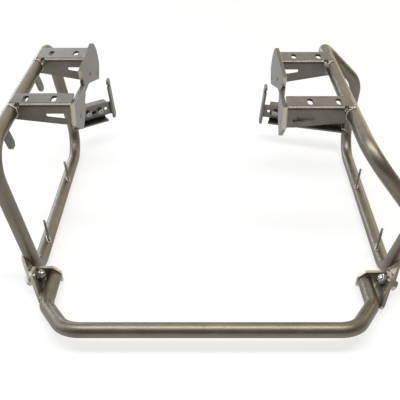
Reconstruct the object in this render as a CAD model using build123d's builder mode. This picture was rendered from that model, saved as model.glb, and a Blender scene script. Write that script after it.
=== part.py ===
"""Pannier frame: two bent-tube loops with folded crossmembers, front struts and a rear crossbar."""
import os
from math import cos, radians, sin

from build123d import *

os.makedirs("parts", exist_ok=True)

# Places of the bike's middle plane and of the middle between the crossmembers
bike_x = -34.7
mid_y = 48.67

# Tube stock and weld clearance
tube_d = 18.0
tube_wall = 2.0
weld_gap = 0.1
tube_r = tube_d / 2
weld_r = tube_r + weld_gap

# Loops: places as distance out from the middle plane, along the bike and above the floor
top_run_out = 214.0
top_run_z = 203.0
foot_run_z = tube_r
front_top_y = 129.0
front_foot_y = 152.0
rear_top_y = -184.0
top_toe_in = 4.5
rear_foot_y = -169.0
left_front_foot_out = 199.0
left_rear_foot_out = 194.0
right_front_foot_out = 284.0
right_rear_foot_out = 271.0
front_knee_out = 281.0
front_knee_y = 136.0
front_knee_z = 139.0
rear_knee_out = 274.5
rear_knee_y = -200.0
rear_knee_z = 125.0
front_top_bend = 27.0
front_foot_bend = 45.0
rear_foot_bend = 26.0
rear_top_bend = 40.0
knee_bend = 45.0
seam_y = -10.0

# Folded crossmembers
sheet = 3.0
fold_inner_r = 2.0
flange_lift = 2.0
flange_top_z = top_run_z + tube_r + flange_lift
left_front_fold_y = 51.0
left_front_flange_w = 42.0
right_front_fold_y = 43.5
right_front_flange_w = 33.0
front_web_outer_h = 21.0
front_web_inner_h = 32.0
left_rear_fold_y = -89.0
right_rear_fold_y = -97.0
rear_flange_w = 30.0
rear_web_outer_h = 20.0
rear_web_inner_h = 28.0
web_level_l = 10.0
front_window_l = 22.0
rear_window_l = 28.0
front_window_edge = 3.0
left_rear_window_edge = 3.0
right_rear_window_edge = 7.0
window_drop = 13.0
window_small_h = 5.0
window_big_h = 8.5
window_r = 2.2
flange_slot_w = 7.0
flange_slot_l = 15.5
flange_slot_in = 20.0
flange_slot_pitch = 35.5
relief_r = 2.8
relief_in = 10.0

# Inner plates: a front lobe, a waist bent inward and a tail lobe
plate_t = 5.0
left_plate_out = 141.2
right_plate_out = 137.0
left_tail_out = 138.4
right_tail_out = 132.2
left_plate_fold_y = 11.0
right_plate_fold_y = -8.0
left_tail_toe = 3.0
right_tail_toe = 4.0
left_tail_tilt = 4.0
right_tail_tilt = 2.0
plate_hole_d = 6.5
waist_drop = 16.0
waist_h = 18.0
waist_l = 12.0
lobe_rise = 3.0
lobe_back = 4.0
lobe_reach = 121.0
lobe_nose_drop = 43.0
lobe_heel_drop = 61.0
lobe_heel_reach = 107.0
lobe_crown_reach = 92.0
lobe_crest_reach = 114.0
lobe_crest_drop = 17.0
lobe_belly_reach = 33.0
tail_past_web = 1.0
tail_h = 30.0
tail_belly_back = 34.0
tail_belly_drop = 52.0
tail_belly_r = 14.0
tail_neck_back = 4.0
plate_front_hole = (102.0, 49.0)
plate_mid_hole = (46.0, 25.0)
plate_tail_hole = (50.0, 36.0)

# Front struts: folded channel, slider and end plate
left_strut_z = 68.0
right_strut_z = 63.0
strut_end_out = 149.0
strut_end_y = 180.0
channel_h = 38.0
channel_d = 18.0
slider_t = 4.0
slider_h = 23.0
slider_l = 50.0
slider_slot_l = 18.0
strut_bolt_pitch = 22.5
strut_bolt_in = 10.0
end_plate_t = 4.0
end_plate_w = 16.0
end_plate_h = 73.0
end_plate_out = 136.0
end_plate_tilt = 4.5
left_end_plate_mid_z = 84.5
right_end_plate_mid_z = 75.0
end_plate_r = 4.0
end_notch_in = 9.0
end_notch_h = 4.5
end_notch_d = 7.0

# Strut fasteners
m6_d = 6.0
m6_hole_d = 6.6
m6_head_d = 10.5
m6_head_h = 3.3
m6_head_round = 2.0
m6_socket_af = 4.0
m6_socket_h = 2.0
m6_washer_d = 12.0
m6_washer_t = 1.6
m6_nut_af = 10.0
m6_nut_h = 5.0
thread_end = 2.0
thread_gap = 0.05

# Pannier tabs
top_tab_t = 4.0
top_tab_w = 16.0
top_tab_offset = 6.0
top_tab_toe = 0.0
top_tab_l = 37.0
left_top_tab_lean = 13.0
right_top_tab_lean = -25.0
top_tab_corner = 4.0
front_top_tab_y = 47.0
rear_top_tab_y = -113.0
foot_tab_t = 3.0
foot_tab_w = 12.0
foot_tab_toe = 21.0
foot_tab_offset = 4.0
foot_tab_l = 39.0
foot_tab_lean = 0.0
foot_tab_corner = 2.0
left_front_foot_tab_y = 33.0
left_rear_foot_tab_y = -114.0
right_front_foot_tab_y = 12.0
right_rear_foot_tab_y = -131.0

# Rear joint between loop and crossbar
joint_yaw = 12.0
joint_tilt = 25.0
left_joint_inset = 4.5
right_joint_inset = 9.0
left_joint_back = 24.0
right_joint_back = 32.0
joint_z = 21.0
ear_t = 4.0
ear_r = 11.0
ear_top_r = 8.0
ear_top_forward = 20.0
ear_top_rise = 17.0
bracket_t = 4.0
bracket_r = 13.0
bracket_tip_r = 5.0
bracket_tip_back = 31.0
bracket_tip_drop = 13.0
bracket_toe_forward = 2.0
bracket_toe_drop = 17.0
bracket_nose_r = 4.0
bracket_nose_forward = 12.0
bracket_nose_rise = 2.0
bracket_web_forward = 15.0
bracket_web_low_z = 2.5
bracket_web_top_z = 27.0
bracket_web_corner = 9.0
bracket_web_edge = 0.5
m8_d = 8.0
m8_hole_d = 8.6
m8_head_af = 13.0
m8_head_h = 5.3
m8_washer_d = 16.0
m8_washer_t = 1.6
m8_nut_af = 13.0
m8_nut_h = 8.0

# Rear crossbar
bar_shift = 4.0
leg_inset = 30.0
leg_bend_y = -231.0
leg_z = 12.0
bar_y = -283.0
bar_z = 29.0
bar_inset = 65.5
leg_bend_r = 30.0
bar_bend_r = 34.0

sides = {"left": -1, "right": 1}
cut_reach = 3 * tube_d


def at(side, out, along, up):
    """Point given by side, distance out from the middle plane, place along the bike and height."""
    return Vector(bike_x + side * out, mid_y + along, up)


def along_plane(origin):
    """Upright plane that runs along the bike: sketch x is forward, sketch y is up."""
    return Plane(origin=origin, x_dir=(0, 1, 0), z_dir=(1, 0, 0))


def across_plane(along):
    """Upright plane across the bike, seen from behind: sketch x is +X from the middle plane."""
    return Plane(origin=(bike_x, mid_y + along, 0), x_dir=(1, 0, 0), z_dir=(0, -1, 0))


def finish(part, name):
    """Labels a finished piece and writes it."""
    part.label = name
    export_step(part, f"parts/{name}.step")


def tube(runs, outer_r, inner_r=0.0):
    """Round bar or tube swept along runs of corner points with bend radii, joined where they meet."""
    with BuildPart() as swept:
        for points, radii in runs:
            with BuildLine() as path:
                FilletPolyline(*points, radius=radii)
            with BuildSketch(Plane(origin=path.line @ 0, z_dir=path.line % 0)):
                Circle(outer_r)
                if inner_r:
                    Circle(inner_r, mode=Mode.SUBTRACT)
            sweep(path=path.line)
    return swept.part


def hexagon_prism(plane, across_flats, height, hole_d=0.0):
    """Hexagonal prism that stands on a plane, with an optional bore."""
    with BuildPart() as prism:
        with BuildSketch(plane):
            RegularPolygon(across_flats / 2, 6, major_radius=False)
            if hole_d:
                Circle(hole_d / 2, mode=Mode.SUBTRACT)
        extrude(amount=height)
    return prism.part


def disc(plane, diameter, height, hole_d=0.0):
    """Round disc or washer that stands on a plane."""
    with BuildPart() as round_piece:
        with BuildSketch(plane):
            Circle(diameter / 2)
            if hole_d:
                Circle(hole_d / 2, mode=Mode.SUBTRACT)
        extrude(amount=height)
    return round_piece.part


# Loops: corner points, then each tube bent in two halves that are butt-welded in the top and foot runs
front_top = {name: at(side, top_run_out, front_top_y, top_run_z) for name, side in sides.items()}
rear_top_out = top_run_out - top_toe_in
rear_top = {name: at(side, rear_top_out, rear_top_y, top_run_z) for name, side in sides.items()}
front_foot = {
    "left": at(-1, left_front_foot_out, front_foot_y, foot_run_z),
    "right": at(1, right_front_foot_out, front_foot_y, foot_run_z),
}
rear_foot = {
    "left": at(-1, left_rear_foot_out, rear_foot_y, foot_run_z),
    "right": at(1, right_rear_foot_out, rear_foot_y, foot_run_z),
}
front_knee = at(1, front_knee_out, front_knee_y, front_knee_z)
rear_knee = at(1, rear_knee_out, rear_knee_y, rear_knee_z)
joint_centre = {
    "left": Vector(rear_foot["left"].X + left_joint_inset, rear_foot["left"].Y - left_joint_back, joint_z),
    "right": Vector(rear_foot["right"].X - right_joint_inset, rear_foot["right"].Y - right_joint_back, joint_z),
}
bar_middle_x = (rear_foot["left"].X + rear_foot["right"].X) / 2 - bar_shift
half_foot = (rear_foot["right"].X - rear_foot["left"].X) / 2
leg_half = half_foot - leg_inset
bar_half = half_foot - bar_inset


def between(start, end, along):
    """Point on the straight run from start to end at a place along the bike."""
    share = (mid_y + along - start.Y) / (end.Y - start.Y)
    return start + (end - start) * share


def loop_runs(name):
    """Front half and rear half of a loop, as corner points and bend radii."""
    top_seam = between(front_top[name], rear_top[name], seam_y)
    foot_seam = between(front_foot[name], rear_foot[name], seam_y)
    front = [front_top[name], front_foot[name]]
    front_radii = [front_top_bend, front_foot_bend]
    rear = [rear_foot[name], rear_top[name]]
    rear_radii = [rear_foot_bend, rear_top_bend]
    if name == "right":
        front.insert(1, front_knee)
        front_radii.insert(1, knee_bend)
        rear.insert(1, rear_knee)
        rear_radii.insert(1, knee_bend)
    return [([top_seam, *front, foot_seam], front_radii), ([foot_seam, *rear, top_seam], rear_radii)]


weld_envelope = {}
for name in sides:
    finish(tube(loop_runs(name), tube_r, tube_r - tube_wall), f"{name}_loop_tube")
    front_run, rear_run = loop_runs(name)
    weld_envelope[name] = {"front": tube([front_run], weld_r), "rear": tube([rear_run], weld_r)}


# Inner plates
plate_out = {"left": left_plate_out, "right": right_plate_out}
plate_fold_y = {"left": left_plate_fold_y, "right": right_plate_fold_y}
tail_out = {"left": left_tail_out, "right": right_tail_out}
tail_toe = {"left": left_tail_toe, "right": right_tail_toe}
tail_tilt = {"left": left_tail_tilt, "right": right_tail_tilt}
rear_fold_y = {"left": left_rear_fold_y, "right": right_rear_fold_y}


def lobe_plane(name, side, outward=0.0):
    """Upright plane of the front lobe: sketch x is forward of the fold, sketch y is up from the flange."""
    return along_plane(at(side, plate_out[name] + outward, plate_fold_y[name], flange_top_z))


def tail_plane(name, side, outward=0.0):
    """Plane of the tail lobe, toed in toward the rear and tilted out toward the bottom."""
    toe = radians(tail_toe[name])
    tilt = radians(tail_tilt[name])
    forward = Vector(side * sin(toe), cos(toe), 0)
    normal = Vector(cos(toe) * cos(tilt), -side * sin(toe) * cos(tilt), side * sin(tilt))
    fold_y = plate_fold_y[name] - waist_l
    fold = at(side, tail_out[name], fold_y, flange_top_z - waist_drop - waist_h / 2)
    lift = (waist_drop + waist_h / 2) / cos(tilt)
    origin = fold + normal.cross(forward) * lift + normal * (side * outward)
    return Plane(origin=origin, x_dir=forward, z_dir=normal)


def inner_plate(name, side):
    """Bow-tie plate with a deep front lobe, a narrow waist bent toward the bike and a tail lobe."""
    waist_low = -waist_drop - waist_h
    fold_y = plate_fold_y[name]
    tail_reach = fold_y - waist_l - rear_fold_y[name] + tail_past_web
    with BuildPart() as plate:
        with BuildSketch(lobe_plane(name, side)):
            with BuildLine():
                Polyline(
                    (lobe_reach, -lobe_nose_drop),
                    (lobe_heel_reach, -lobe_heel_drop),
                    (lobe_belly_reach, waist_low),
                    (0, waist_low),
                    (0, -waist_drop),
                    (-lobe_back, 0),
                    (lobe_crown_reach, lobe_rise),
                )
                ThreePointArc(
                    (lobe_crown_reach, lobe_rise),
                    (lobe_crest_reach, -lobe_crest_drop),
                    (lobe_reach, -lobe_nose_drop),
                )
            make_face()
            with Locations((plate_front_hole[0], -plate_front_hole[1]), (plate_mid_hole[0], -plate_mid_hole[1])):
                Circle(plate_hole_d / 2, mode=Mode.SUBTRACT)
        extrude(amount=plate_t / 2, both=True)
        with BuildSketch(Plane.XY.offset(flange_top_z + waist_low)):
            with BuildLine():
                Polyline(
                    at(side, plate_out[name] - plate_t / 2, fold_y, 0),
                    at(side, plate_out[name] + plate_t / 2, fold_y, 0),
                    at(side, tail_out[name] + plate_t / 2, fold_y - waist_l, 0),
                    at(side, tail_out[name] - plate_t / 2, fold_y - waist_l, 0),
                    close=True,
                )
            make_face()
        extrude(amount=waist_h)
        with BuildSketch(tail_plane(name, side)) as tail:
            with BuildLine():
                Polyline(
                    (lobe_back, -waist_drop),
                    (0, -waist_drop),
                    (-tail_reach, 0),
                    (-tail_reach, -tail_h),
                    (-tail_belly_back, -tail_belly_drop - tail_belly_r),
                    (-tail_neck_back, -tail_belly_drop),
                    (-tail_neck_back, waist_low - tail_neck_back),
                    (0, waist_low),
                    (lobe_back, waist_low),
                    close=True,
                )
            make_face()
            belly = tail.vertices().sort_by(Axis.Y)[0]
            fillet(belly, tail_belly_r)
            with Locations((-plate_tail_hole[0], -plate_tail_hole[1])):
                Circle(plate_hole_d / 2, mode=Mode.SUBTRACT)
        extrude(amount=plate_t / 2, both=True)
    return plate.part


# Crossmembers
def crossmember(name, side, fold_y, flange_w, web_outer_h, web_inner_h, window_edge, window_l, face):
    """Folded strip with a slotted flange on top and a windowed web that hangs from its rear edge."""
    web_foot = at(side, 0, fold_y, flange_top_z - web_inner_h)
    face_out = side * (face.origin - web_foot).dot(face.z_dir) / face.z_dir.X
    inner_out = face_out - cut_reach / 2
    top_run = between(front_top[name], rear_top[name], fold_y)
    run_out = side * (top_run.X - bike_x)
    start_out = inner_out if side > 0 else run_out
    slot_y = fold_y + flange_w / 2
    with BuildPart() as member:
        with BuildSketch(along_plane(at(side, start_out, fold_y, flange_top_z))) as section:
            with BuildLine():
                Polyline(
                    (0, 0),
                    (flange_w, 0),
                    (flange_w, -sheet),
                    (sheet, -sheet),
                    (sheet, -web_inner_h),
                    (0, -web_inner_h),
                    close=True,
                )
            make_face()
            fillet(section.vertices().sort_by_distance((0, 0))[0], fold_inner_r + sheet)
            fillet(section.vertices().sort_by_distance((sheet, -sheet))[0], fold_inner_r)
        extrude(amount=run_out - inner_out)
        with BuildSketch(across_plane(fold_y + sheet)):
            with BuildLine():
                Polyline(
                    (side * (face_out + web_level_l), flange_top_z - web_inner_h),
                    (side * run_out, flange_top_z - web_outer_h),
                    (side * run_out, flange_top_z - web_inner_h),
                    close=True,
                )
            make_face()
        extrude(amount=sheet, mode=Mode.SUBTRACT)
        with BuildSketch(across_plane(fold_y + sheet)) as window:
            near, far = side * (face_out + window_edge), side * (face_out + window_edge + window_l)
            sill = flange_top_z - window_drop
            with BuildLine():
                Polyline(
                    (near, sill),
                    (far, sill),
                    (far, sill - window_small_h),
                    (near, sill - window_big_h),
                    close=True,
                )
            make_face()
            fillet(window.vertices(), window_r)
        extrude(amount=sheet, mode=Mode.SUBTRACT)
        with BuildSketch(Plane.XY.offset(flange_top_z)):
            for inset in (flange_slot_in, flange_slot_in + flange_slot_pitch):
                with Locations(at(side, top_run_out - inset, slot_y, 0)):
                    SlotOverall(flange_slot_l, flange_slot_w, rotation=90)
            with Locations(at(side, run_out - relief_in, fold_y + relief_r / 2, 0)):
                Circle(relief_r)
        extrude(amount=-sheet - fold_inner_r - sheet, mode=Mode.SUBTRACT)
        with BuildSketch(Plane(origin=top_run, z_dir=rear_top[name] - front_top[name])):
            Circle(weld_r)
        extrude(amount=cut_reach, both=True, mode=Mode.SUBTRACT)
        split(bisect_by=face, keep=Keep.TOP if side > 0 else Keep.BOTTOM)
    return member.part


front_folds = {"left": left_front_fold_y, "right": right_front_fold_y}
front_widths = {"left": left_front_flange_w, "right": right_front_flange_w}
rear_window_edge = {"left": left_rear_window_edge, "right": right_rear_window_edge}
for name, side in sides.items():
    finish(inner_plate(name, side), f"{name}_inner_plate")
    front_face = lobe_plane(name, side, plate_t / 2)
    front_sizes = (front_folds[name], front_widths[name], front_web_outer_h, front_web_inner_h)
    front_window = (front_window_edge, front_window_l)
    finish(crossmember(name, side, *front_sizes, *front_window, front_face), f"{name}_front_crossmember")
    rear_face = tail_plane(name, side, plate_t / 2)
    rear_sizes = (rear_fold_y[name], rear_flange_w, rear_web_outer_h, rear_web_inner_h)
    rear_window = (rear_window_edge[name], rear_window_l)
    finish(crossmember(name, side, *rear_sizes, *rear_window, rear_face), f"{name}_rear_crossmember")


# Front struts
strut_z = {"left": left_strut_z, "right": right_strut_z}
end_plate_mid_z = {"left": left_end_plate_mid_z, "right": right_end_plate_mid_z}


def strut_frame(name, side):
    """Inner end of the strut, its run toward the loop's front upright, its rearward direction and its length."""
    lower = front_foot[name]
    upper = front_knee if name == "right" else front_top[name]
    root = lower + (upper - lower) * ((strut_z[name] - lower.Z) / (upper.Z - lower.Z))
    end = at(side, strut_end_out, strut_end_y, strut_z[name])
    run = (root - end).normalized()
    rearward = Vector(side * run.Y, -abs(run.X), 0)
    return end, run, rearward, (root - end).length


def strut_channel(name, side):
    """Folded C channel, web in front, coped to the tube it is welded to and drilled for the two clamp bolts."""
    end, run, rearward, length = strut_frame(name, side)
    half_h = channel_h / 2
    with BuildPart() as channel:
        with BuildSketch(Plane(origin=end, x_dir=rearward, z_dir=run)) as section:
            with BuildLine():
                Polyline(
                    (channel_d - sheet, half_h),
                    (-sheet, half_h),
                    (-sheet, -half_h),
                    (channel_d - sheet, -half_h),
                    (channel_d - sheet, sheet - half_h),
                    (0, sheet - half_h),
                    (0, half_h - sheet),
                    (channel_d - sheet, half_h - sheet),
                    close=True,
                )
            make_face()
            corners = section.vertices().group_by(Axis.X)
            fillet(corners[0], fold_inner_r + sheet)
            fillet(corners[1], fold_inner_r)
        extrude(amount=length)
        for bolt in range(2):
            place = end + run * (strut_bolt_in + bolt * strut_bolt_pitch)
            with BuildSketch(Plane(origin=place, x_dir=run, z_dir=rearward)):
                Circle(m6_hole_d / 2)
            extrude(amount=-2 * sheet, mode=Mode.SUBTRACT)
        add(weld_envelope[name]["front"], mode=Mode.SUBTRACT)
    return channel.part


def end_plate_plane(name, side, outward=0.0):
    """Plane of a strut's end plate, leaning so that its lower end is nearer the bike."""
    end, run, rearward, _ = strut_frame(name, side)
    travel = (strut_end_out - end_plate_out) / abs(run.X)
    middle = end - run * travel + rearward * (slider_t / 2)
    tilt = radians(end_plate_tilt)
    normal = Vector(cos(tilt), 0, -side * sin(tilt))
    origin = at(side, end_plate_out, middle.Y - mid_y, end_plate_mid_z[name]) + normal * (side * outward)
    return Plane(origin=origin, x_dir=(0, 1, 0), z_dir=normal)


def strut_slider(name, side):
    """Flat bar behind the channel's web, slotted for the clamp bolts and cut off at the end plate."""
    end, run, rearward, _ = strut_frame(name, side)
    with BuildPart() as slider:
        with BuildSketch(Plane(origin=end, x_dir=run, z_dir=rearward)):
            with Locations(((slider_l - cut_reach / 2) / 2, 0)):
                Rectangle(slider_l + cut_reach / 2, slider_h)
            for bolt in range(2):
                middle = strut_bolt_in + bolt * strut_bolt_pitch + m6_hole_d / 2 - slider_slot_l / 2
                with Locations((middle, 0)):
                    SlotOverall(slider_slot_l, m6_hole_d, mode=Mode.SUBTRACT)
        extrude(amount=slider_t)
        face = end_plate_plane(name, side, end_plate_t / 2)
        split(bisect_by=face, keep=Keep.TOP if side > 0 else Keep.BOTTOM)
    return slider.part


def strut_end_plate(name, side):
    """Upright plate welded to the slider's end, with a notch open to the rear below its top edge."""
    with BuildPart() as plate:
        with BuildSketch(end_plate_plane(name, side)):
            RectangleRounded(end_plate_w, end_plate_h, end_plate_r)
            with Locations((-end_plate_w / 2, end_plate_h / 2 - end_notch_in)):
                SlotOverall(2 * end_notch_d, end_notch_h, mode=Mode.SUBTRACT)
        extrude(amount=end_plate_t / 2, both=True)
    return plate.part


def strut_fasteners(name, side):
    """Two clamp bolts with their washers and nuts, heads to the rear."""
    end, run, rearward, _ = strut_frame(name, side)
    bolts, washers, nuts = [], [], []
    for bolt in range(2):
        place = end + run * (strut_bolt_in + bolt * strut_bolt_pitch)
        seat = Plane(origin=place + rearward * slider_t, x_dir=run, z_dir=rearward)
        head_seat = seat.offset(m6_washer_t)
        nut_seat = Plane(origin=place - rearward * sheet, x_dir=run, z_dir=-rearward)
        shank_l = m6_washer_t + slider_t + sheet + m6_nut_h + thread_end
        with BuildPart() as screw:
            with BuildSketch(head_seat):
                Circle(m6_head_d / 2)
            extrude(amount=m6_head_h)
            fillet(screw.edges().group_by(Axis(head_seat.origin, head_seat.z_dir))[-1], m6_head_round)
            with BuildSketch(head_seat.offset(m6_head_h)):
                RegularPolygon(m6_socket_af / 2, 6, major_radius=False)
            extrude(amount=-m6_socket_h, mode=Mode.SUBTRACT)
            with BuildSketch(head_seat):
                Circle(m6_d / 2)
            extrude(amount=-shank_l)
        bolts.append(screw.part)
        washers.append(disc(seat, m6_washer_d, m6_washer_t, m6_hole_d))
        nuts.append(hexagon_prism(nut_seat, m6_nut_af, m6_nut_h, m6_d + 2 * thread_gap))
    return Compound(children=bolts), Compound(children=washers), Compound(children=nuts)


for name, side in sides.items():
    finish(strut_channel(name, side), f"{name}_strut_channel")
    finish(strut_slider(name, side), f"{name}_strut_slider")
    finish(strut_end_plate(name, side), f"{name}_strut_end_plate")
    strut_bolts, strut_washers, strut_nuts = strut_fasteners(name, side)
    finish(strut_bolts, f"{name}_strut_bolts")
    finish(strut_washers, f"{name}_strut_washers")
    finish(strut_nuts, f"{name}_strut_nuts")


# Tabs
def tab(side, start, end, envelope, along, offset, lean, toe, width, thick, tip, corner):
    """Flat tab welded to a straight run of the loop, leaning and toed out, with its free corners cut off."""
    root = between(start, end, along)
    run = (start - end).normalized()
    across = run.cross(Vector(0, 0, 1)) * side
    spread = radians(toe)
    forward = run * cos(spread) + across * sin(spread)
    outward = across * cos(spread) - run * sin(spread)
    up = outward.cross(forward) * side
    turn = radians(lean)
    normal = outward * cos(turn) - up * sin(turn)
    plane = Plane(origin=root + across * offset, x_dir=forward, z_dir=normal * side)
    lift = tip / abs(tip)
    with BuildPart() as piece:
        with BuildSketch(plane):
            with BuildLine():
                Polyline(
                    (-width / 2, 0),
                    (-width / 2, tip - lift * corner),
                    (corner - width / 2, tip),
                    (width / 2 - corner, tip),
                    (width / 2, tip - lift * corner),
                    (width / 2, 0),
                    close=True,
                )
            make_face()
        extrude(amount=thick / 2, both=True)
        add(envelope, mode=Mode.SUBTRACT)
    return piece.part


top_tab_lean = {"left": left_top_tab_lean, "right": right_top_tab_lean}
foot_tab_y = {
    "left": {"front": left_front_foot_tab_y, "rear": left_rear_foot_tab_y},
    "right": {"front": right_front_foot_tab_y, "rear": right_rear_foot_tab_y},
}
top_tab_y = {"front": front_top_tab_y, "rear": rear_top_tab_y}
top_tab = (top_tab_w, top_tab_t, -top_tab_l, top_tab_corner)
foot_tab = (foot_tab_w, foot_tab_t, foot_tab_l, foot_tab_corner)
for name, side in sides.items():
    for place, along in top_tab_y.items():
        run = (front_top[name], rear_top[name], weld_envelope[name][place])
        upper = tab(side, *run, along, top_tab_offset, top_tab_lean[name], top_tab_toe, *top_tab)
        finish(upper, f"{name}_{place}_top_tab")
    for place, along in foot_tab_y[name].items():
        run = (front_foot[name], rear_foot[name], weld_envelope[name][place])
        lower = tab(side, *run, along, -foot_tab_offset, foot_tab_lean, foot_tab_toe, *foot_tab)
        finish(lower, f"{name}_{place}_foot_tab")


# Rear joints
def joint_plane(name, side, inward):
    """Tilted plane of a rear joint at a depth inward of the face where ear and bracket meet."""
    yaw = radians(joint_yaw)
    tilt = radians(joint_tilt)
    forward = Vector(side * sin(yaw), cos(yaw), 0)
    normal = Vector(cos(yaw) * cos(tilt), -side * sin(yaw) * cos(tilt), -side * sin(tilt))
    return Plane(origin=joint_centre[name] - normal * (side * inward), x_dir=forward, z_dir=normal)


def rear_ear(name, side):
    """Ear welded to the loop's rear bend, drilled for the joint bolt."""
    with BuildPart() as ear:
        with BuildSketch(joint_plane(name, side, 0)):
            Circle(ear_r)
            with Locations((ear_top_forward, ear_top_rise)):
                Circle(ear_top_r)
            make_hull()
            Circle(m8_hole_d / 2, mode=Mode.SUBTRACT)
        extrude(amount=side * ear_t)
        add(weld_envelope[name]["rear"], mode=Mode.SUBTRACT)
    return ear.part.solids().sort_by(SortBy.VOLUME)[-1]


def crossbar_bracket(name, side):
    """Folded bracket: a drilled leaf against the ear and a web that caps the end of the crossbar's leg."""
    web_y = joint_centre[name].Y + bracket_web_forward
    inner_x = bar_middle_x + side * (leg_half - tube_r - bracket_web_edge)
    outer_x = rear_foot[name].X
    with BuildPart() as bracket:
        with BuildSketch(Plane(origin=(0, web_y, 0), x_dir=(1, 0, 0), z_dir=(0, -1, 0))):
            with BuildLine():
                Polyline(
                    (outer_x, bracket_web_low_z),
                    (inner_x, bracket_web_low_z),
                    (inner_x, bracket_web_top_z - bracket_web_corner),
                    (inner_x + side * bracket_web_corner, bracket_web_top_z),
                    (outer_x, bracket_web_top_z),
                    close=True,
                )
            make_face()
        extrude(amount=bracket_t)
        leaf = joint_plane(name, side, 0)
        split(bisect_by=leaf, keep=Keep.BOTTOM if side > 0 else Keep.TOP)
        with BuildSketch(leaf):
            Circle(bracket_r)
            with Locations((-bracket_tip_back, -bracket_tip_drop), (bracket_toe_forward, -bracket_toe_drop)):
                Circle(bracket_tip_r)
            with Locations((bracket_nose_forward, bracket_nose_rise)):
                Circle(bracket_nose_r)
            make_hull()
            Circle(m8_hole_d / 2, mode=Mode.SUBTRACT)
        extrude(amount=-side * bracket_t)
        add(weld_envelope[name]["rear"], mode=Mode.SUBTRACT)
        with BuildSketch(Plane(origin=(0, web_y - bracket_t, 0), x_dir=(1, 0, 0), z_dir=(0, -1, 0))):
            with Locations((bar_middle_x + side * leg_half, leg_z)):
                Circle(weld_r)
        extrude(amount=cut_reach, mode=Mode.SUBTRACT)
    return bracket.part


def joint_bolt(name, side):
    """Hexagon bolt with its head on the outside of the ear."""
    head_seat = joint_plane(name, side, -ear_t - m8_washer_t)
    shank_l = ear_t + bracket_t + 2 * m8_washer_t + m8_nut_h + thread_end
    with BuildPart() as bolt:
        with BuildSketch(head_seat):
            RegularPolygon(m8_head_af / 2, 6, major_radius=False)
        extrude(amount=side * m8_head_h)
        with BuildSketch(head_seat):
            Circle(m8_d / 2)
        extrude(amount=-side * shank_l)
    return bolt.part


def joint_washers(name, side):
    """One washer under the head and one under the nut."""
    outside = joint_plane(name, side, -ear_t - m8_washer_t)
    inside = joint_plane(name, side, bracket_t)
    outer = disc(outside, m8_washer_d, -side * m8_washer_t, m8_hole_d)
    inner = disc(inside, m8_washer_d, -side * m8_washer_t, m8_hole_d)
    return Compound(children=[outer, inner])


for name, side in sides.items():
    finish(rear_ear(name, side), f"{name}_rear_ear")
    finish(crossbar_bracket(name, side), f"{name}_crossbar_bracket")
    finish(joint_bolt(name, side), f"{name}_joint_bolt")
    finish(joint_washers(name, side), f"{name}_joint_washers")
    nut_seat = joint_plane(name, side, bracket_t + m8_washer_t)
    finish(hexagon_prism(nut_seat, m8_nut_af, -side * m8_nut_h, m8_d + 2 * thread_gap), f"{name}_joint_nut")


# Rear crossbar
crossbar_points = []
for name, side in sides.items():
    leg_start_y = joint_centre[name].Y + bracket_web_forward - bracket_t
    crossbar_points.append(
        [
            Vector(bar_middle_x + side * leg_half, leg_start_y, leg_z),
            Vector(bar_middle_x + side * leg_half, mid_y + leg_bend_y, leg_z),
            Vector(bar_middle_x + side * bar_half, mid_y + bar_y, bar_z),
        ]
    )
left_half, right_half = crossbar_points
crossbar_path = left_half + right_half[::-1]
crossbar_bends = [leg_bend_r, bar_bend_r, bar_bend_r, leg_bend_r]
finish(tube([(crossbar_path, crossbar_bends)], tube_r, tube_r - tube_wall), "crossbar_tube")
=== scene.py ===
# %% [markdown]
# A pannier frame, dressed in Blender
#
# The frame is a bare stainless rack for a motorcycle: two bent-tube loops that carry the cases, folded
# crossmembers and plates that bolt to the bike, two clamped front struts and a crossbar at the rear.
# The solid model is loaded first and is never moved. It could be modelled again here, but then the two
# would drift apart, so this lesson only adds what a solid model leaves out: weld beads, finished
# fasteners, metal finishes, light and a camera.

from math import atan2, cos, pi, radians, sin, tau

import bmesh
import bpy
from mathutils import Matrix, Vector
from mathutils.bvhtree import BVHTree


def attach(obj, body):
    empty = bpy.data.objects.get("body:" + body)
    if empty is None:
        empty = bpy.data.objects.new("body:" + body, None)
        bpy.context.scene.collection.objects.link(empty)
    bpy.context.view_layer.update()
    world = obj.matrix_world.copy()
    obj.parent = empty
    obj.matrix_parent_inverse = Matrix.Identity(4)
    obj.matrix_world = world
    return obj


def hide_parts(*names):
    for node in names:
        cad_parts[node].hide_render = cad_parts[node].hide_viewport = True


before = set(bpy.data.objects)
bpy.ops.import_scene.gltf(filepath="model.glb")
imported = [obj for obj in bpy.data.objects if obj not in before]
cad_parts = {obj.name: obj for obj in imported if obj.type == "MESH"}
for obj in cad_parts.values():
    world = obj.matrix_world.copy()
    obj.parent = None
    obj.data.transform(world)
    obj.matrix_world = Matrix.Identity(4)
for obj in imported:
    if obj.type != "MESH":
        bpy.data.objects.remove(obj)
scene = bpy.context.scene
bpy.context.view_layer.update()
mm = 0.001
print("nodes loaded:", len(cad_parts))

# %% [markdown]
# Writing shader maths as plain sums
#
# A finish is a small graph of nodes. The graph could be wired by hand, socket by socket, but a sum such
# as 1 - mask is easier to read, so one class wraps an output socket and turns Python's signs into Math
# nodes. Every other node comes from a single method that sets its options first and its sockets after.


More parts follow.
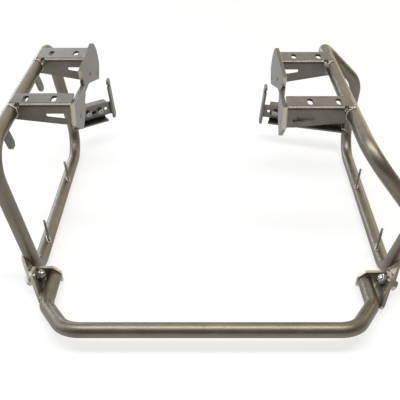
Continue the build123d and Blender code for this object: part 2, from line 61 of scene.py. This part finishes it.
# %% A class for wires and one for finishes
class Wire:
    """One output socket of a finish, which can be added, subtracted, multiplied and compared."""

    def __init__(self, finish, socket):
        self.finish = finish
        self.socket = socket

    def combine(self, operation, first, second):
        return self.finish.add("ShaderNodeMath", {"operation": operation}, {0: first, 1: second})

    def __add__(self, other):
        return self.combine("ADD", self, other)

    def __radd__(self, other):
        return self.combine("ADD", other, self)

    def __sub__(self, other):
        return self.combine("SUBTRACT", self, other)

    def __rsub__(self, other):
        return self.combine("SUBTRACT", other, self)

    def __mul__(self, other):
        return self.combine("MULTIPLY", self, other)

    def __rmul__(self, other):
        return self.combine("MULTIPLY", other, self)

    def __lt__(self, other):
        return self.combine("LESS_THAN", self, other)

    def sibling(self, name):
        """Another output of the same node."""
        return Wire(self.finish, self.socket.node.outputs[name])


class Finish:
    """A material under construction: its nodes, its shader and its output."""

    def __init__(self, name):
        self.material = bpy.data.materials.new(name)
        self.material.use_nodes = True
        self.nodes = self.material.node_tree.nodes
        self.links = self.material.node_tree.links
        self.shader = self.nodes["Principled BSDF"]
        self.output = self.nodes["Material Output"]

    def add(self, kind, settings=None, sockets=None, out=0):
        node = self.nodes.new(kind)
        for key, value in (settings or {}).items():
            if key == "stops":
                ramp = node.color_ramp.elements
                while len(ramp) < len(value):
                    ramp.new(0.5)
                for stop, (place, colour) in zip(ramp, value):
                    stop.position = place
                    stop.color = (*colour, 1.0)
            else:
                setattr(node, key, value)
        self.set(node, sockets or {})
        return Wire(self, node.outputs[out])

    def set(self, node, sockets):
        for key, value in sockets.items():
            if isinstance(value, Wire):
                self.links.new(value.socket, node.inputs[key])
            else:
                node.inputs[key].default_value = value


print("ready to write finishes")

# %% [markdown]
# Bead-blasted steel
#
# The real frame is bare stainless steel with a fine satin skin: grey, slightly mottled, with faint handling
# marks.
# Its tones are tinted a little warm, and that warmth is a painted reflection of warm, brownish surroundings.
# A photograph of steel could be wrapped round it, but pictures stretch over bent tube, so the skin is grown
# from noise in the object's own space. Large soft clouds shift the tone, a fine grain breaks up the gloss,
# and a shallow bump gives the blasted surface its tooth.

# %% A recipe for satin steel
fine_grain = 900.0
mark_stretch = (420.0, 60.0, 420.0)
tooth_height = 0.1 * mm


def satin_steel(name, dark, light, gloss, tooth_depth, cloud_scale):
    """Steel between a dark and a light tone, with its roughness, depth of tooth and size of cloud."""
    finish = Finish(name)
    place = finish.add("ShaderNodeTexCoord", out=3)
    cloud_form = {"Scale": cloud_scale, "Detail": 4.0, "Roughness": 0.6}
    clouds = finish.add("ShaderNodeTexNoise", {}, {"Vector": place, **cloud_form})
    tooth = finish.add("ShaderNodeTexNoise", {}, {"Vector": place, "Scale": fine_grain, "Detail": 2.0})
    stretched = finish.add("ShaderNodeMapping", {}, {"Vector": place, "Scale": mark_stretch})
    marks = finish.add("ShaderNodeTexNoise", {}, {"Vector": stretched, "Scale": 1.0, "Detail": 3.0})
    tone = clouds * 0.82 + tooth * 0.04 + marks * 0.14
    shades = [(0.34, dark), (0.66, light)]
    colour = finish.add("ShaderNodeValToRGB", {"stops": shades}, {"Fac": tone})
    relief = {"Strength": tooth_depth, "Distance": tooth_height, "Height": tooth}
    skin = finish.add("ShaderNodeBump", {}, relief)
    finish.set(
        finish.shader,
        {
            "Base Color": colour,
            "Metallic": 1.0,
            "Roughness": gloss + (clouds - 0.5) * 0.1 + (marks - 0.5) * 0.06,
            "Normal": skin,
        },
    )
    return finish


# The warm tint in these tones is a painted reflection of warm, brownish surroundings.
tube_steel = satin_steel("tube_steel", (0.152, 0.135, 0.107), (0.208, 0.187, 0.151), 0.44, 0.008, 26.0)
sheet_steel = satin_steel("sheet_steel", (0.135, 0.125, 0.108), (0.185, 0.173, 0.151), 0.42, 0.012, 60.0)
# The bracket tones are painted light: a paler, warmer copy of the steel so that the shaded rear brackets
# read as lit.
painted_light_bracket_steel = satin_steel("painted_light_bracket_steel", (0.38, 0.345, 0.28), (0.5, 0.46, 0.385), 0.4, 0.1, 50.0)
fastener_steel = satin_steel("fastener_steel", (0.3, 0.3, 0.3), (0.42, 0.42, 0.41), 0.2, 0.05, 90.0)
print("finishes so far:", [m.name for m in bpy.data.materials])

# %% [markdown]
# Painted highlight on the rear edges of the inner plates
#
# The thick inner plates have upright edges at the rear that face the camera side, and light from that side
# makes them bright. That light is painted into their colour, which is paler than the blasted faces. A second
# material could be put on those faces one by one, but they are simply the faces that look straight back, so
# a mask from the surface's own direction finds them.

# %% Plate steel with a painted highlight on its rear edges
# The plate tones carry the same warm tint, a painted reflection of brownish surroundings.
plate_steel = satin_steel("plate_steel", (0.105, 0.096, 0.083), (0.15, 0.139, 0.122), 0.42, 0.012, 45.0)
# The pale colour on faces that look straight back is a painted highlight, standing in for light from the
# camera side.
painted_highlight_colour = (0.5, 0.46, 0.38, 1.0)
straight_back = -0.9
direction = plate_steel.add("ShaderNodeTexCoord", out=1)
forward = plate_steel.add("ShaderNodeSeparateXYZ", {}, {"Vector": direction}, 1)
face_colour = Wire(plate_steel, plate_steel.shader.inputs["Base Color"].links[0].from_socket)
blend = {"Factor": forward < straight_back, "A": face_colour, "B": painted_highlight_colour}
painted_highlight_mix = plate_steel.add("ShaderNodeMix", {"data_type": "RGBA"}, blend).sibling("Result")
plate_steel.set(plate_steel.shader, {"Base Color": painted_highlight_mix})
print("plate edges masked")

# %% [markdown]
# Weld metal
#
# A fresh weld on stainless steel is a row of overlapping ripples, brighter than the blasted skin, with
# straw and grey heat colours that come and go. The colours could follow the distance from the seam, but the
# ripples are real shape, so a tint is enough: slow noise picks the heat colour, and a finer one keeps it
# from looking painted.

# %% Weld finish
weld_steel = Finish("weld_steel")
place = weld_steel.add("ShaderNodeTexCoord", out=3)
heat = weld_steel.add("ShaderNodeTexNoise", {}, {"Vector": place, "Scale": 70.0, "Detail": 3.0})
speck = weld_steel.add("ShaderNodeTexNoise", {}, {"Vector": place, "Scale": fine_grain, "Detail": 2.0})
heat_colours = [
    (0.3, (0.2, 0.195, 0.2)),
    (0.45, (0.36, 0.34, 0.31)),
    (0.58, (0.42, 0.4, 0.37)),
    (0.72, (0.3, 0.25, 0.18)),
]
warmth = heat * 0.8 + speck * 0.2
tint = weld_steel.add("ShaderNodeValToRGB", {"stops": heat_colours}, {"Fac": warmth})
weld_skin = {"Base Color": tint, "Metallic": 1.0, "Roughness": 0.26 + speck * 0.16}
weld_steel.set(weld_steel.shader, weld_skin)
print("weld finish ready")

# %% [markdown]
# Giving each solid its finish
#
# Tube, sheet, plate and fasteners come from different stock, so they get different skins. The ears and
# brackets of the rear joint get a paler, warmer copy of the steel; that paleness is painted light, which
# makes them read as lit where they sit in the shade of the joint. A list of every node would be long, but
# the names already tell which stock each one was cut from, so a few words in them pick the finish.

# %% Finish the nodes
stock_words = {
    "tube": tube_steel,
    "inner_plate": plate_steel,
    "crossbar_bracket": painted_light_bracket_steel,
    "rear_ear": painted_light_bracket_steel,
    "bolt": fastener_steel,
    "washers": fastener_steel,
    "nut": fastener_steel,
}
for name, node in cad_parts.items():
    stock = [finish for word, finish in stock_words.items() if word in name]
    node.data.materials.clear()
    node.data.materials.append((stock[0] if stock else sheet_steel).material)
print("finished nodes:", len(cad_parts))

# %% [markdown]
# Turning a bmesh into a piece of the object
#
# Every new piece goes through the same few steps: merge doubles, point the faces outwards, shade smooth
# but keep sharp corners, give it its finish, link it, and hang it on the root body that it rides on.

# %% Finish a piece
same_corner = 1e-7


def make_piece(name, shape, finish, crease=35.0):
    bmesh.ops.remove_doubles(shape, verts=shape.verts, dist=same_corner)
    bmesh.ops.recalc_face_normals(shape, faces=shape.faces)
    for face in shape.faces:
        face.smooth = True
    mesh = bpy.data.meshes.new(name)
    shape.to_mesh(mesh)
    shape.free()
    mesh.set_sharp_from_angle(angle=radians(crease))
    mesh.materials.append(finish.material)
    piece = bpy.data.objects.new(name, mesh)
    scene.collection.objects.link(piece)
    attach(piece, "root")
    print(name, "faces:", len(mesh.polygons))
    return piece


# %% [markdown]
# Finding the weld seams
#
# Wherever a piece of sheet was cut to fit a tube or a plate, the welder ran a bead round the joint. The
# places could be typed in by hand, but the solids already hold them: an edge of one solid is a seam when
# both its ends lie against the surface of the other. A search tree of the other solid measures that
# distance, and edges that share a corner are then strung together into paths.

# %% Seam finder
touching = 0.3 * mm
sharp_fold = radians(28.0)
loose_corner = 2e-6


def merged_copy(node):
    copy = bmesh.new()
    copy.from_mesh(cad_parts[node].data)
    bmesh.ops.remove_doubles(copy, verts=copy.verts, dist=loose_corner)
    return copy


search_trees = {}


def search_tree(node):
    """The search tree of a node, kept because one tube has many pieces welded to it."""
    if node not in search_trees:
        copy = merged_copy(node)
        search_trees[node] = BVHTree.FromBMesh(copy)
        copy.free()
    return search_trees[node]


def string_edges(edges):
    """Strings edges that share corners into paths of points."""
    free = dict.fromkeys(edges)
    paths = []
    while free:
        first = next(iter(free))
        del free[first]
        path = list(first.verts)
        for end in (1, 0):
            while True:
                tip = path[-1] if end else path[0]
                following = [e for e in tip.link_edges if e in free]
                if not following:
                    break
                del free[following[0]]
                corner = following[0].other_vert(tip)
                path.insert(len(path) if end else 0, corner)
        paths.append([v.co.copy() for v in path])
    return paths


def seams(piece, base):
    """Paths along which the sharp edges of one node lie against another node."""
    copy = merged_copy(piece)
    tree = search_tree(base)
    near = {v: (tree.find_nearest(v.co, touching)[0] is not None) for v in copy.verts}
    edges = []
    for edge in copy.edges:
        if len(edge.link_faces) == 2 and edge.calc_face_angle() > sharp_fold:
            if near[edge.verts[0]] and near[edge.verts[1]]:
                edges.append(edge)
    paths = string_edges(edges)
    copy.free()
    return paths


print("a tab's seams:", [len(path) for path in seams("left_front_top_tab", "left_loop_tube")])

# %% [markdown]
# Laying the beads
#
# A bead is a round pool of metal that was set down again and again, a little further each time. A smooth
# rod would look like glue, so a small ring is extruded along the seam and swells and shrinks as it goes.

# %% Bead layer
ripple_step = 0.55 * mm
ripple_swell = 0.13
end_taper = 0.55
closing_gap = 0.05 * mm
fewest_spots = 6
ring_sides = 8


def even_path(points, step):
    """The same path with corners at even steps, and whether it closes on itself."""
    closed = (points[0] - points[-1]).length < closing_gap
    spots = [points[0].copy()]
    left_over = 0.0
    for start, end in zip(points, points[1:]):
        run = end - start
        travel = step - left_over
        while travel <= run.length:
            spots.append(start + run * (travel / run.length))
            travel += step
        left_over = run.length - (travel - step)
    return spots, closed


def ring_edges(ring):
    """The edges of a ring of corners, in the same order on every run."""
    return list(dict.fromkeys(e for v in ring for e in v.link_edges if e.other_vert(v) in ring))


def lay_bead(shape, points, radius):
    spots, closed = even_path(points, ripple_step)
    if len(spots) < fewest_spots:
        return 0
    ring = bmesh.ops.create_circle(shape, cap_ends=not closed, segments=ring_sides, radius=1.0)["verts"]
    stand = Matrix.Identity(4)
    last = len(spots) - 1
    for i, spot in enumerate(spots):
        before = spots[i - 1] if i or closed else spot
        after = spots[(i + 1) % len(spots)] if i < last or closed else spot
        turn = (after - before).to_track_quat("Z", "Y").to_matrix().to_4x4()
        swell = radius * (1.0 + ripple_swell * (-1) ** (i // 2))
        if i in (0, last) and not closed:
            swell *= end_taper
        aim = Matrix.Translation(spot) @ turn @ Matrix.Scale(swell, 4)
        if i:
            edges = ring_edges(ring)
            grown = bmesh.ops.extrude_edge_only(shape, edges=edges)["geom"]
            ring = [g for g in grown if isinstance(g, bmesh.types.BMVert)]
        bmesh.ops.transform(shape, matrix=aim @ stand.inverted(), verts=ring)
        stand = aim
    edges = ring_edges(ring)
    bmesh.ops.contextual_create(shape, geom=edges)
    return len(spots)


print("bead ripples every", ripple_step / mm, "mm")

# %% [markdown]
# Rings where the tube halves meet
#
# Each loop is bent in two halves, and the foot run keeps a low ring where they were welded end to end.
# The ring could be a torus, but then it would have no ripples, so its path goes through the bead layer.
# It leaves out the underside, which was ground flush so that the frame stands level.

# %% Ring path
ground_half = radians(24.0)
ring_steps = 72
ring_radius = 8.8


def ring_path(middle, along):
    """Points round a straight run of tube, from one side of its ground underside to the other."""
    turn = Vector(along).to_track_quat("Z", "Y").to_matrix()
    start = ground_half - pi / 2
    sweep = tau - 2 * ground_half
    angles = [start + sweep * i / ring_steps for i in range(ring_steps + 1)]
    arms = [Vector((ring_radius * cos(a), ring_radius * sin(a), 0.0)) for a in angles]
    return [Vector(middle) * mm + turn @ arm * mm for arm in arms]


foot_rings = {
    "left": ((-230.7, 8.0, 9.0), (-5.0, 321.0, 0.0)),
    "right": ((244.4, 80.0, 9.0), (13.0, 321.0, 0.0)),
}
print("foot rings:", list(foot_rings))

# %% [markdown]
# Welding it all together
#
# Each pair of pieces below meets at a welded joint, with a bead as thick as the sheet asks for. The beads
# could be one piece each, but a frame is welded side by side, so each side's beads form one piece.

# %% Weld the two sides and the crossbar
tube_bead = 1.5
plate_bead = 1.1
slider_bead = 0.9
ring_bead = 0.55
sheet_on_tube = ("front_crossmember", "rear_crossmember", "front_top_tab", "rear_top_tab")
sheet_on_tube += ("front_foot_tab", "rear_foot_tab", "strut_channel", "rear_ear")
for side in ("left", "right"):
    joints = [(f"{side}_{piece}", f"{side}_loop_tube", tube_bead) for piece in sheet_on_tube]
    for end in ("front", "rear"):
        joints += [(f"{side}_{end}_crossmember", f"{side}_inner_plate", plate_bead)]
    joints += [(f"{side}_strut_slider", f"{side}_strut_end_plate", slider_bead)]
    joints += [(f"{side}_crossbar_bracket", "crossbar_tube", tube_bead)]
    beads = bmesh.new()
    ripples = 0
    for piece, base, radius in joints:
        for path in seams(piece, base):
            ripples += lay_bead(beads, path, radius * mm)
    ripples += lay_bead(beads, ring_path(*foot_rings[side]), ring_bead * mm)
    make_piece(f"{side}_weld_beads", beads, weld_steel, 60.0)
    print(side, "ripples:", ripples)

# %% [markdown]
# Bolts and nuts at the rear joints
#
# The rear joints are held by an M8 hexagon bolt and a locking nut on each side. The solids give them as
# plain prisms. A prism with bevelled edges would be quick, but a real head is turned before it is packed:
# a cone cuts only its six corners. So a ring of corners is drawn up through a list of levels, and each
# corner has its own radius and height at each level. The same tool gives the threads and the nut's collar.

# %% Draw a ring of corners through levels
ring_corners = 48
head_flats = 13.0
thread_pitch = 1.25


def round_level(radius, height):
    return [(radius, height)] * ring_corners


def hex_level(flats, height, trim=0.0, slope=0.0):
    """A hexagon level whose corners drop by the slope of the cone that trims them, if one does."""
    level = []
    for i in range(ring_corners):
        turn = tau * i / ring_corners
        radius = flats / 2 / cos((turn + pi / 6) % (pi / 3) - pi / 6)
        level.append((radius, height - slope * max(0.0, radius - trim)))
    return level


def draw_levels(shape, levels, place, closed):
    """Extrudes a ring through the levels. A closed run of levels ends on the ring that it started from."""
    known = set(shape.verts)
    ring = bmesh.ops.create_circle(shape, cap_ends=not closed, segments=ring_corners, radius=1.0)["verts"]
    for number, level in enumerate(levels):
        if number:
            edges = ring_edges(ring)
            grown = bmesh.ops.extrude_edge_only(shape, edges=edges)["geom"]
            ring = [g for g in grown if isinstance(g, bmesh.types.BMVert)]
        for corner in ring:
            turn = atan2(corner.co.y, corner.co.x)
            radius, height = level[round(turn / tau * ring_corners) % ring_corners]
            corner.co = Vector((radius * cos(turn), radius * sin(turn), height))
    if not closed:
        edges = ring_edges(ring)
        bmesh.ops.contextual_create(shape, geom=edges)
    made = [v for v in shape.verts if v not in known]
    bmesh.ops.transform(shape, matrix=place @ Matrix.Scale(mm, 4), verts=made)


print("corners in a ring:", ring_corners)

# %% [markdown]
# A bolt from tip to head, and a nut round it
#
# The bolt is one run of levels: tip, threads, shank, the head's bearing face, its six sides and its turned
# top. The nut's levels close on themselves, because it has a bore. Both stand on the tilted, toed-in ear, so
# the direction of the joint is worked out once and the nut simply looks the other way.

# %% Make the bolts and nuts
joint_spots = {"left": (-224.2, -144.33, 21.0), "right": (227.3, -152.33, 21.0)}
joint_yaw = radians(12.0)
joint_tilt = radians(25.0)
nut_turn = radians(17.0)
fastener_crease = 25.0
seat = 5.6
head_top = 10.9
nut_top = 13.6
thread_tip = 15.6
thread_turns = 8
tip_r = 3.1
tip_rise = 0.5
first_crest = 0.9
crest_r = 3.97
root_r = 3.5
shank_start = 0.6
bore_r = 4.05
face_r = 5.9
bearing_r = 6.0
bearing_top = seat + 0.4
head_trim = 6.0
nut_trim = 6.2
cone_slope = 0.55
dish = [(4.4, 0.0), (4.2, 0.25)]
collar_foot = nut_top - 2.2
collar = [(5.7, 0.9), (5.2, 0.2), (4.6, 0.0), (bore_r, 0.1)]
bolt_levels = [round_level(tip_r, -thread_tip), round_level(root_r, -thread_tip + tip_rise)]
for turn in range(thread_turns):
    crest = -thread_tip + first_crest + turn * thread_pitch
    bolt_levels += [round_level(crest_r, crest), round_level(root_r, crest + thread_pitch / 2)]
bolt_levels += [round_level(crest_r, -seat + shank_start), round_level(crest_r, seat)]
bolt_levels += [round_level(bearing_r, seat), round_level(bearing_r, bearing_top)]
bolt_levels += [hex_level(head_flats, bearing_top)]
bolt_levels += [hex_level(head_flats, head_top, head_trim, cone_slope), round_level(face_r, head_top)]
bolt_levels += [round_level(radius, head_top - depth) for radius, depth in dish]
nut_levels = [round_level(bore_r, seat), round_level(face_r, seat)]
nut_levels += [hex_level(head_flats, seat, nut_trim, -cone_slope)]
nut_levels += [hex_level(head_flats, collar_foot, nut_trim, cone_slope), round_level(face_r, collar_foot)]
nut_levels += [round_level(radius, nut_top - depth) for radius, depth in collar]
nut_levels += [round_level(bore_r, seat)]
for side, hand in (("left", -1.0), ("right", 1.0)):
    flat = cos(joint_tilt)
    outward = Vector((hand * cos(joint_yaw) * flat, -sin(joint_yaw) * flat, -sin(joint_tilt)))
    spot = Matrix.Translation(Vector(joint_spots[side]) * mm)
    looking_out = outward.to_track_quat("Z", "Y").to_matrix().to_4x4()
    looking_in = (-outward).to_track_quat("Z", "Y").to_matrix().to_4x4()
    shape = bmesh.new()
    draw_levels(shape, bolt_levels, spot @ looking_out, False)
    bolt = make_piece(f"{side}_hex_bolt", shape, fastener_steel, fastener_crease)
    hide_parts(f"{side}_joint_bolt")
    shape = bmesh.new()
    draw_levels(shape, nut_levels, spot @ looking_in @ Matrix.Rotation(nut_turn, 4, "Z"), True)
    nut = make_piece(f"{side}_lock_nut", shape, fastener_steel, fastener_crease)
    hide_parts(f"{side}_joint_nut")
print("joint fasteners drawn")

# %% [markdown]
# Floor
#
# The frame stands on plain white paper. A lit sheet alone would go grey at its far end, and more light
# would burn out the steel, so the paper also glows for rays from the camera and from the metal. Near the
# frame part of it stays lit paper that catches the soft shadow, and far off it fades into the white room.

# %% Floor
floor_half = 6.0
glow_near = 0.7
fade_start = 0.6
fade_rate = 0.8


def white_floor():
    sheet = bmesh.new()
    bmesh.ops.create_grid(sheet, x_segments=1, y_segments=1, size=floor_half)
    mesh = bpy.data.meshes.new("floor")
    sheet.to_mesh(mesh)
    sheet.free()
    floor = bpy.data.objects.new("floor", mesh)
    scene.collection.objects.link(floor)
    finish = Finish("floor_paper")
    place = finish.add("ShaderNodeTexCoord", out=3)
    fibre = finish.add("ShaderNodeTexNoise", {}, {"Vector": place, "Scale": 9.0, "Detail": 3.0})
    shades = [(0.3, (0.86, 0.86, 0.86)), (0.7, (0.88, 0.88, 0.88))]
    paper = finish.add("ShaderNodeValToRGB", {"stops": shades}, {"Fac": fibre})
    finish.set(finish.shader, {"Base Color": paper, "Roughness": 0.9})
    camera_ray = finish.add("ShaderNodeLightPath")
    glossy_ray = camera_ray.sibling("Is Glossy Ray")
    through_ray = camera_ray.sibling("Is Transmission Ray")
    white = finish.add("ShaderNodeEmission", {}, {"Color": (1, 1, 1, 1), "Strength": 1.0})
    distance = finish.add("ShaderNodeVectorMath", {"operation": "LENGTH"}, {0: place}, 1)
    far_off = finish.add("ShaderNodeClamp", {}, {"Value": (distance - fade_start) * fade_rate})
    glow = glow_near + (1.0 - glow_near) * far_off
    seen = (camera_ray + glossy_ray + through_ray) * glow
    lit = Wire(finish, finish.shader.outputs[0])
    mixed = finish.add("ShaderNodeMixShader", {}, {"Fac": seen, 1: lit, 2: white})
    finish.set(finish.output, {"Surface": mixed})
    mesh.materials.append(finish.material)


white_floor()
print("floor laid")

# %% [markdown]
# Soft boxes
#
# A dome picture could light the frame, but metal shows everything round it, so a few wide lamps give
# cleaner highlights. Each was placed by asking where a bright line on the steel would be mirrored to. A
# long box overhead draws the line along the crossbar. A cool one stands far left and low, like a window,
# and draws the lines along the foot runs. A wide one beyond the frame lights the flanges, a cool one at
# the left lifts the left loop, and a small warm one at the far right gives the right loop its golden side.


# %% Lamps
def soft_box(name, place, aim, width, height, power, colour):
    lamp = bpy.data.lights.new(name, "AREA")
    lamp.shape = "RECTANGLE"
    lamp.size = width
    lamp.size_y = height
    lamp.energy = power
    lamp.color = colour
    box = bpy.data.objects.new(name, lamp)
    box.location = place
    box.rotation_euler = (Vector(aim) - Vector(place)).to_track_quat("-Z", "Y").to_euler()
    scene.collection.objects.link(box)


soft_box("overhead_box", (0.0, -0.2, 1.6), (0.0, -0.2, 0.0), 1.8, 0.36, 25.0, (1.0, 0.98, 0.94))
soft_box("far_box", (0.2, 2.0, 1.7), (0.0, 0.0, 0.1), 2.2, 1.0, 7.0, (1.0, 0.93, 0.83))
soft_box("window_box", (-1.3, 1.6, 0.38), (-0.1, 0.0, 0.1), 1.8, 0.56, 18.0, (0.84, 0.92, 1.0))
soft_box("left_box", (-1.7, -0.2, 0.9), (0.0, 0.0, 0.1), 1.2, 1.2, 9.0, (0.88, 0.94, 1.0))
soft_box("right_box", (1.5, 1.4, 0.6), (0.1, 0.0, 0.1), 1.0, 0.8, 7.0, (1.0, 0.82, 0.55))

# %% [markdown]
# A white room with one dark side
#
# The room behind the frame is white, and the steel should show that. If it were white all round, the tubes
# would look like paper, because steel is only as lively as what it mirrors. A photographer hangs dark cloth
# beside the camera, and the world does the same: what the steel mirrors falls off towards the near side.
# It also turns from cool on the left to warm on the right, as daylight and a lamp would make it.


# %% World
class Studio(Finish):
    """A world under construction, with the same wires as a finish."""

    def __init__(self, name):
        self.world = bpy.data.worlds.new(name)
        self.world.use_nodes = True
        self.nodes = self.world.node_tree.nodes
        self.links = self.world.node_tree.links
        self.shader = self.nodes["Background"]


room_light = 0.42
darkest_side = 0.16
mirrored_middle = 0.44
mirrored_far = 0.36
mirrored_up = 0.1
cool_left = (0.88, 0.94, 1.0)
plain_middle = (1.0, 0.98, 0.94)
warm_right = (1.0, 0.87, 0.67)
studio = Studio("studio")
scene.world = studio.world
heading = studio.add("ShaderNodeTexCoord")
right_side = studio.add("ShaderNodeSeparateXYZ", {}, {"Vector": heading})
far_side = right_side.sibling("Y")
height = right_side.sibling("Z")
falloff = mirrored_middle + mirrored_far * far_side + mirrored_up * height
mirrored = studio.add("ShaderNodeClamp", {}, {"Value": falloff, "Min": darkest_side, "Max": 1.0})
seen_ray = studio.add("ShaderNodeLightPath")
mirror_ray = seen_ray.sibling("Is Glossy Ray")
through_ray = seen_ray.sibling("Is Transmission Ray")
lighting = (1.0 - seen_ray - mirror_ray - through_ray) * room_light
strength = seen_ray + through_ray + mirror_ray * mirrored + lighting
walls = [(0.0, cool_left), (0.5, plain_middle), (1.0, warm_right)]
tint = studio.add("ShaderNodeValToRGB", {"stops": walls}, {"Fac": 0.5 + 0.5 * right_side})
plain = {"Factor": seen_ray, "A": tint, "B": (1.0, 1.0, 1.0, 1.0)}
colour = studio.add("ShaderNodeMix", {"data_type": "RGBA"}, plain).sibling("Result")
studio.set(studio.shader, {"Color": colour, "Strength": strength})
print("world ready")

# %% [markdown]
# Camera
#
# The picture was taken from behind the bike, a little over half a metre above the floor and looking down.
# The view could be matched by eye, but straight tubes are good rulers: the place and tilt below were worked
# out from where their ends and edges fall in the picture.

# %% Camera
lens = bpy.data.cameras.new("camera")
lens.lens = 46.8
lens.sensor_width = 36.0
camera = bpy.data.objects.new("camera", lens)
camera.location = (-0.0117, -0.61333, 0.508)
camera.rotation_euler = (radians(52.4), 0.0, 0.0)
scene.collection.objects.link(camera)
scene.camera = camera
scene.view_settings.view_transform = "Standard"
print("camera at", tuple(camera.location))
